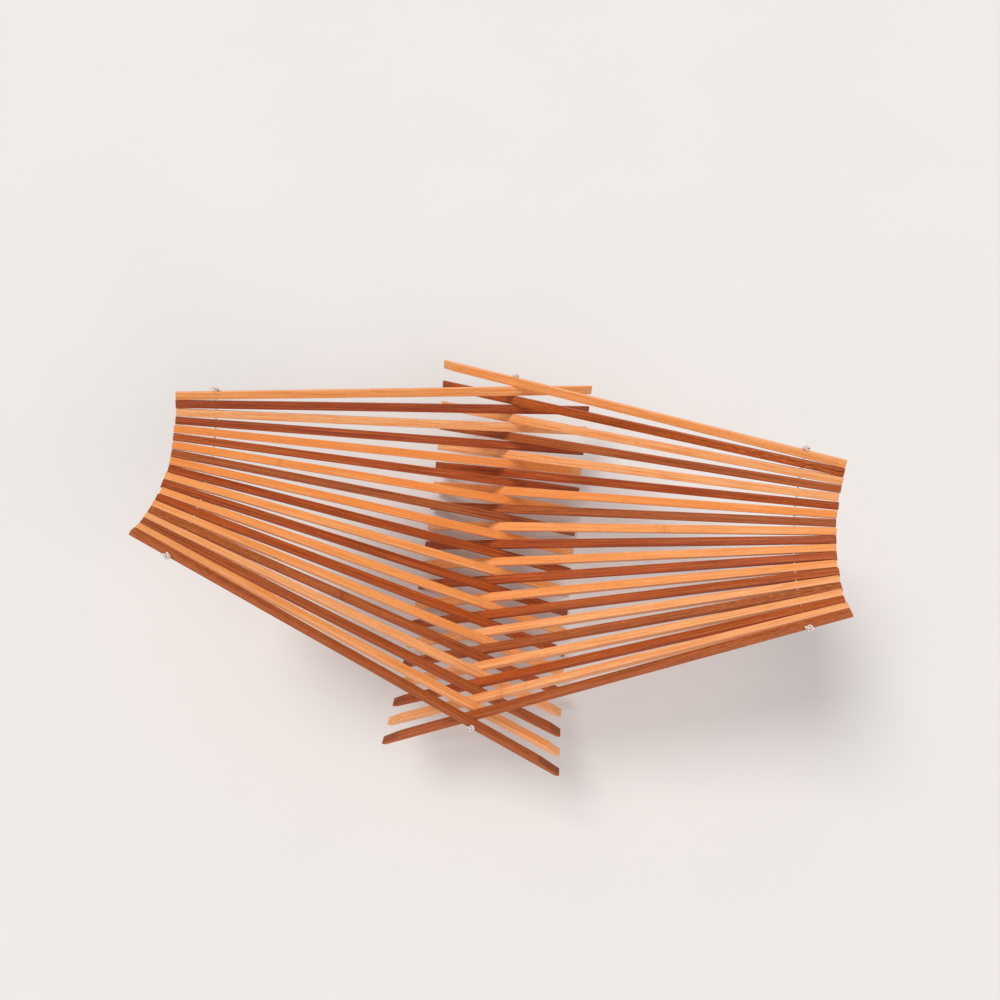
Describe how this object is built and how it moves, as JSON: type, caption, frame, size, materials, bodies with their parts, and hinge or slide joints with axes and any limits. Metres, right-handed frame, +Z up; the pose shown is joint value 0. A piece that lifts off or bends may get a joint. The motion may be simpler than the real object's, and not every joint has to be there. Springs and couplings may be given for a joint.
{
  "type": "folding stick basket",
  "caption": "Folding wooden basket: two sets of slim sticks cross alternately on a cord, corded again at their tips, as a curved open tray on short feet.",
  "frame": {"origin": "on the table, midway between the two lowest feet, under the middle of the crossing line", "axes": "+Z up, +X towards the right wing, +Y away from the viewer along the crossing line"},
  "size_m": [0.4104, 0.2944, 0.1653],
  "materials": {
    "light_bamboo": "satin",
    "dark_bamboo": "satin",
    "cord": "matt",
    "knot": "satin"
  },
  "bodies": {
    "stick_right_11": {"stick_right_11": "light_bamboo", "cord_centre": "cord", "cord_right": "cord"},
    "stick_left_10": {"stick_left_10": "dark_bamboo", "cord_left": "cord"},
    "stick_right_01": {"stick_right_01": "light_bamboo", "knot_centre_far": "knot", "knot_right_far": "knot"},
    "stick_left_01": {"stick_left_01": "light_bamboo", "knot_left_far": "knot"},
    "stick_right_02": {"stick_right_02": "dark_bamboo"},
    "stick_left_02": {"stick_left_02": "dark_bamboo"},
    "stick_right_03": {"stick_right_03": "light_bamboo"},
    "stick_left_03": {"stick_left_03": "light_bamboo"},
    "stick_right_04": {"stick_right_04": "dark_bamboo"},
    "stick_left_04": {"stick_left_04": "dark_bamboo"},
    "stick_right_05": {"stick_right_05": "light_bamboo"},
    "stick_left_05": {"stick_left_05": "light_bamboo"},
    "stick_right_06": {"stick_right_06": "dark_bamboo"},
    "stick_left_06": {"stick_left_06": "dark_bamboo"},
    "stick_right_07": {"stick_right_07": "light_bamboo"},
    "stick_left_07": {"stick_left_07": "light_bamboo"},
    "stick_right_08": {"stick_right_08": "dark_bamboo"},
    "stick_left_08": {"stick_left_08": "dark_bamboo"},
    "stick_right_09": {"stick_right_09": "light_bamboo"},
    "stick_left_09": {"stick_left_09": "light_bamboo"},
    "stick_right_10": {"stick_right_10": "dark_bamboo"},
    "stick_left_11": {"stick_left_11": "light_bamboo"},
    "stick_right_12": {"stick_right_12": "dark_bamboo"},
    "stick_left_12": {"stick_left_12": "dark_bamboo"},
    "stick_right_13": {"stick_right_13": "light_bamboo"},
    "stick_left_13": {"stick_left_13": "light_bamboo"},
    "stick_right_14": {"stick_right_14": "dark_bamboo"},
    "stick_left_14": {"stick_left_14": "dark_bamboo"},
    "stick_right_15": {"stick_right_15": "light_bamboo"},
    "stick_left_15": {"stick_left_15": "light_bamboo"},
    "stick_right_16": {"stick_right_16": "dark_bamboo"},
    "stick_left_16": {"stick_left_16": "dark_bamboo"},
    "stick_right_17": {"stick_right_17": "light_bamboo"},
    "stick_left_17": {"stick_left_17": "light_bamboo"},
    "stick_right_18": {"stick_right_18": "dark_bamboo"},
    "stick_left_18": {"stick_left_18": "dark_bamboo"},
    "stick_right_19": {"stick_right_19": "light_bamboo"},
    "stick_left_19": {"stick_left_19": "light_bamboo"},
    "stick_right_20": {"stick_right_20": "dark_bamboo", "knot_right_near": "knot"},
    "stick_left_20": {"stick_left_20": "dark_bamboo", "knot_centre_near": "knot", "knot_left_near": "knot"}
  },
  "joints": [
    {"name": "fold", "type": "hinge", "parent": "stick_right_11", "child": "stick_left_10", "pos_m": [-0.00022, 0, 0.03279], "axis": [-0.0091, 0.9999, -0.0101], "range_deg": [0, 110], "deforming": ["cord_centre", "cord_left", "cord_right"]},
    {"name": "turn_right_10", "type": "hinge", "parent": "stick_right_11", "child": "stick_right_10", "pos_m": [0.00001, 0.00346, 0.03256], "axis": [-0.8728, 0.0095, -0.4879], "range_deg": [0, 5.38]},
    {"name": "turn_right_09", "type": "hinge", "parent": "stick_right_11", "child": "stick_right_09", "pos_m": [0.00005, 0.0103, 0.03276], "axis": [-0.8727, 0.0282, -0.4874], "range_deg": [0, 10.7]},
    {"name": "turn_right_08", "type": "hinge", "parent": "stick_right_11", "child": "stick_right_08", "pos_m": [0.00012, 0.0167, 0.03313], "axis": [-0.8726, 0.0458, -0.4863], "range_deg": [0, 15.69]},
    {"name": "turn_right_07", "type": "hinge", "parent": "stick_right_11", "child": "stick_right_07", "pos_m": [0.00019, 0.02191, 0.03355], "axis": [-0.8725, 0.0603, -0.4849], "range_deg": [0, 19.87]},
    {"name": "turn_right_06", "type": "hinge", "parent": "stick_right_11", "child": "stick_right_06", "pos_m": [0.00024, 0.02516, 0.0338], "axis": [-0.8724, 0.0695, -0.4839], "range_deg": [0, 22.94]},
    {"name": "turn_right_05", "type": "hinge", "parent": "stick_right_06", "child": "stick_right_05", "pos_m": [0.00001, 0.07067, 0.04714], "axis": [-0.8728, 0.1935, -0.448], "range_deg": [0, 5.38]},
    {"name": "turn_right_04", "type": "hinge", "parent": "stick_right_06", "child": "stick_right_04", "pos_m": [0.00005, 0.07693, 0.04991], "axis": [-0.8727, 0.2106, -0.4404], "range_deg": [0, 10.7]},
    {"name": "turn_right_03", "type": "hinge", "parent": "stick_right_06", "child": "stick_right_03", "pos_m": [0.00012, 0.08271, 0.05267], "axis": [-0.8726, 0.2265, -0.4327], "range_deg": [0, 15.69]},
    {"name": "turn_right_02", "type": "hinge", "parent": "stick_right_06", "child": "stick_right_02", "pos_m": [0.00019, 0.08737, 0.05504], "axis": [-0.8725, 0.2394, -0.426], "range_deg": [0, 19.87]},
    {"name": "turn_right_01", "type": "hinge", "parent": "stick_right_06", "child": "stick_right_01", "pos_m": [0.00024, 0.09029, 0.0565], "axis": [-0.8724, 0.2475, -0.4215], "range_deg": [0, 22.94]},
    {"name": "turn_right_12", "type": "hinge", "parent": "stick_right_11", "child": "stick_right_12", "pos_m": [0.00001, -0.01037, 0.03283], "axis": [0.8728, 0.0284, 0.4872], "range_deg": [0, 5.64]},
    {"name": "turn_right_13", "type": "hinge", "parent": "stick_right_11", "child": "stick_right_13", "pos_m": [0.00005, -0.0172, 0.03329], "axis": [0.8727, 0.0471, 0.4859], "range_deg": [0, 11.21]},
    {"name": "turn_right_14", "type": "hinge", "parent": "stick_right_11", "child": "stick_right_14", "pos_m": [0.00012, -0.0236, 0.03391], "axis": [0.8726, 0.0645, 0.4842], "range_deg": [0, 16.45]},
    {"name": "turn_right_15", "type": "hinge", "parent": "stick_right_11", "child": "stick_right_15", "pos_m": [0.00019, -0.02881, 0.03454], "axis": [0.8725, 0.0786, 0.4823], "range_deg": [0, 20.84]},
    {"name": "turn_right_16", "type": "hinge", "parent": "stick_right_11", "child": "stick_right_16", "pos_m": [0.00024, -0.03206, 0.03492], "axis": [0.8723, 0.0873, 0.481], "range_deg": [0, 24.05]},
    {"name": "turn_right_17", "type": "hinge", "parent": "stick_right_16", "child": "stick_right_17", "pos_m": [0.00001, -0.07697, 0.05001], "axis": [0.8728, 0.2107, 0.4402], "range_deg": [0, 5.64]},
    {"name": "turn_right_18", "type": "hinge", "parent": "stick_right_16", "child": "stick_right_18", "pos_m": [0.00005, -0.08312, 0.05302], "axis": [0.8727, 0.2275, 0.4319], "range_deg": [0, 11.21]},
    {"name": "turn_right_19", "type": "hinge", "parent": "stick_right_16", "child": "stick_right_19", "pos_m": [0.00012, -0.0888, 0.05601], "axis": [0.8726, 0.243, 0.4237], "range_deg": [0, 16.45]},
    {"name": "turn_right_20", "type": "hinge", "parent": "stick_right_16", "child": "stick_right_20", "pos_m": [0.00019, -0.09339, 0.05857], "axis": [0.8725, 0.2554, 0.4166], "range_deg": [0, 20.84]},
    {"name": "turn_left_09", "type": "hinge", "parent": "stick_left_10", "child": "stick_left_09", "pos_m": [-0.00001, 0.01037, 0.03283], "axis": [-0.8728, -0.0284, 0.4872], "range_deg": [0, 5.49]},
    {"name": "turn_left_08", "type": "hinge", "parent": "stick_left_10", "child": "stick_left_08", "pos_m": [-0.00005, 0.0172, 0.03329], "axis": [-0.8727, -0.0471, 0.4859], "range_deg": [0, 10.93]},
    {"name": "turn_left_07", "type": "hinge", "parent": "stick_left_10", "child": "stick_left_07", "pos_m": [-0.00012, 0.0236, 0.03391], "axis": [-0.8726, -0.0645, 0.4842], "range_deg": [0, 16.03]},
    {"name": "turn_left_06", "type": "hinge", "parent": "stick_left_10", "child": "stick_left_06", "pos_m": [-0.00019, 0.02881, 0.03454], "axis": [-0.8725, -0.0786, 0.4823], "range_deg": [0, 20.3]},
    {"name": "turn_left_05", "type": "hinge", "parent": "stick_left_10", "child": "stick_left_05", "pos_m": [-0.00024, 0.03206, 0.03492], "axis": [-0.8723, -0.0873, 0.481], "range_deg": [0, 23.44]},
    {"name": "turn_left_04", "type": "hinge", "parent": "stick_left_05", "child": "stick_left_04", "pos_m": [-0.00001, 0.07697, 0.05001], "axis": [-0.8728, -0.2107, 0.4402], "range_deg": [0, 5.49]},
    {"name": "turn_left_03", "type": "hinge", "parent": "stick_left_05", "child": "stick_left_03", "pos_m": [-0.00005, 0.08312, 0.05302], "axis": [-0.8727, -0.2275, 0.4319], "range_deg": [0, 10.93]},
    {"name": "turn_left_02", "type": "hinge", "parent": "stick_left_05", "child": "stick_left_02", "pos_m": [-0.00012, 0.0888, 0.05601], "axis": [-0.8726, -0.243, 0.4237], "range_deg": [0, 16.03]},
    {"name": "turn_left_01", "type": "hinge", "parent": "stick_left_05", "child": "stick_left_01", "pos_m": [-0.00019, 0.09339, 0.05857], "axis": [-0.8725, -0.2554, 0.4166], "range_deg": [0, 20.3]},
    {"name": "turn_left_11", "type": "hinge", "parent": "stick_left_10", "child": "stick_left_11", "pos_m": [-0.00001, -0.00346, 0.03256], "axis": [0.8728, -0.0095, -0.4879], "range_deg": [0, 5.24]},
    {"name": "turn_left_12", "type": "hinge", "parent": "stick_left_10", "child": "stick_left_12", "pos_m": [-0.00005, -0.0103, 0.03276], "axis": [0.8727, -0.0282, -0.4874], "range_deg": [0, 10.42]},
    {"name": "turn_left_13", "type": "hinge", "parent": "stick_left_10", "child": "stick_left_13", "pos_m": [-0.00012, -0.0167, 0.03313], "axis": [0.8726, -0.0458, -0.4863], "range_deg": [0, 15.27]},
    {"name": "turn_left_14", "type": "hinge", "parent": "stick_left_10", "child": "stick_left_14", "pos_m": [-0.00019, -0.02191, 0.03355], "axis": [0.8725, -0.0603, -0.4849], "range_deg": [0, 19.34]},
    {"name": "turn_left_15", "type": "hinge", "parent": "stick_left_10", "child": "stick_left_15", "pos_m": [-0.00024, -0.02516, 0.0338], "axis": [0.8724, -0.0695, -0.4839], "range_deg": [0, 22.32]},
    {"name": "turn_left_16", "type": "hinge", "parent": "stick_left_15", "child": "stick_left_16", "pos_m": [-0.00001, -0.07067, 0.04714], "axis": [0.8728, -0.1935, -0.448], "range_deg": [0, 5.24]},
    {"name": "turn_left_17", "type": "hinge", "parent": "stick_left_15", "child": "stick_left_17", "pos_m": [-0.00005, -0.07693, 0.04991], "axis": [0.8727, -0.2106, -0.4404], "range_deg": [0, 10.42]},
    {"name": "turn_left_18", "type": "hinge", "parent": "stick_left_15", "child": "stick_left_18", "pos_m": [-0.00012, -0.08271, 0.05267], "axis": [0.8726, -0.2265, -0.4327], "range_deg": [0, 15.27]},
    {"name": "turn_left_19", "type": "hinge", "parent": "stick_left_15", "child": "stick_left_19", "pos_m": [-0.00019, -0.08737, 0.05504], "axis": [0.8725, -0.2394, -0.426], "range_deg": [0, 19.34]},
    {"name": "turn_left_20", "type": "hinge", "parent": "stick_left_15", "child": "stick_left_20", "pos_m": [-0.00024, -0.09029, 0.0565], "axis": [0.8724, -0.2475, -0.4215], "range_deg": [0, 22.32]}
  ],
  "couplings": [
    {"joint": "turn_right_10", "follows": "fold", "ratio": 0.048919},
    {"joint": "turn_right_09", "follows": "fold", "ratio": 0.097284},
    {"joint": "turn_right_08", "follows": "fold", "ratio": 0.14266},
    {"joint": "turn_right_07", "follows": "fold", "ratio": 0.18063},
    {"joint": "turn_right_06", "follows": "fold", "ratio": 0.20851},
    {"joint": "turn_right_05", "follows": "fold", "ratio": 0.048919},
    {"joint": "turn_right_04", "follows": "fold", "ratio": 0.097284},
    {"joint": "turn_right_03", "follows": "fold", "ratio": 0.14266},
    {"joint": "turn_right_02", "follows": "fold", "ratio": 0.18063},
    {"joint": "turn_right_01", "follows": "fold", "ratio": 0.20851},
    {"joint": "turn_right_12", "follows": "fold", "ratio": 0.051242},
    {"joint": "turn_right_13", "follows": "fold", "ratio": 0.10192},
    {"joint": "turn_right_14", "follows": "fold", "ratio": 0.14952},
    {"joint": "turn_right_15", "follows": "fold", "ratio": 0.18942},
    {"joint": "turn_right_16", "follows": "fold", "ratio": 0.21865},
    {"joint": "turn_right_17", "follows": "fold", "ratio": 0.051242},
    {"joint": "turn_right_18", "follows": "fold", "ratio": 0.10192},
    {"joint": "turn_right_19", "follows": "fold", "ratio": 0.14952},
    {"joint": "turn_right_20", "follows": "fold", "ratio": 0.18942},
    {"joint": "turn_left_09", "follows": "fold", "ratio": 0.049929},
    {"joint": "turn_left_08", "follows": "fold", "ratio": 0.099311},
    {"joint": "turn_left_07", "follows": "fold", "ratio": 0.14569},
    {"joint": "turn_left_06", "follows": "fold", "ratio": 0.18456},
    {"joint": "turn_left_05", "follows": "fold", "ratio": 0.21305},
    {"joint": "turn_left_04", "follows": "fold", "ratio": 0.049929},
    {"joint": "turn_left_03", "follows": "fold", "ratio": 0.099311},
    {"joint": "turn_left_02", "follows": "fold", "ratio": 0.14569},
    {"joint": "turn_left_01", "follows": "fold", "ratio": 0.18456},
    {"joint": "turn_left_11", "follows": "fold", "ratio": 0.047607},
    {"joint": "turn_left_12", "follows": "fold", "ratio": 0.094674},
    {"joint": "turn_left_13", "follows": "fold", "ratio": 0.13883},
    {"joint": "turn_left_14", "follows": "fold", "ratio": 0.17578},
    {"joint": "turn_left_15", "follows": "fold", "ratio": 0.20292},
    {"joint": "turn_left_16", "follows": "fold", "ratio": 0.047607},
    {"joint": "turn_left_17", "follows": "fold", "ratio": 0.094674},
    {"joint": "turn_left_18", "follows": "fold", "ratio": 0.13883},
    {"joint": "turn_left_19", "follows": "fold", "ratio": 0.17578},
    {"joint": "turn_left_20", "follows": "fold", "ratio": 0.20292}
  ]
}
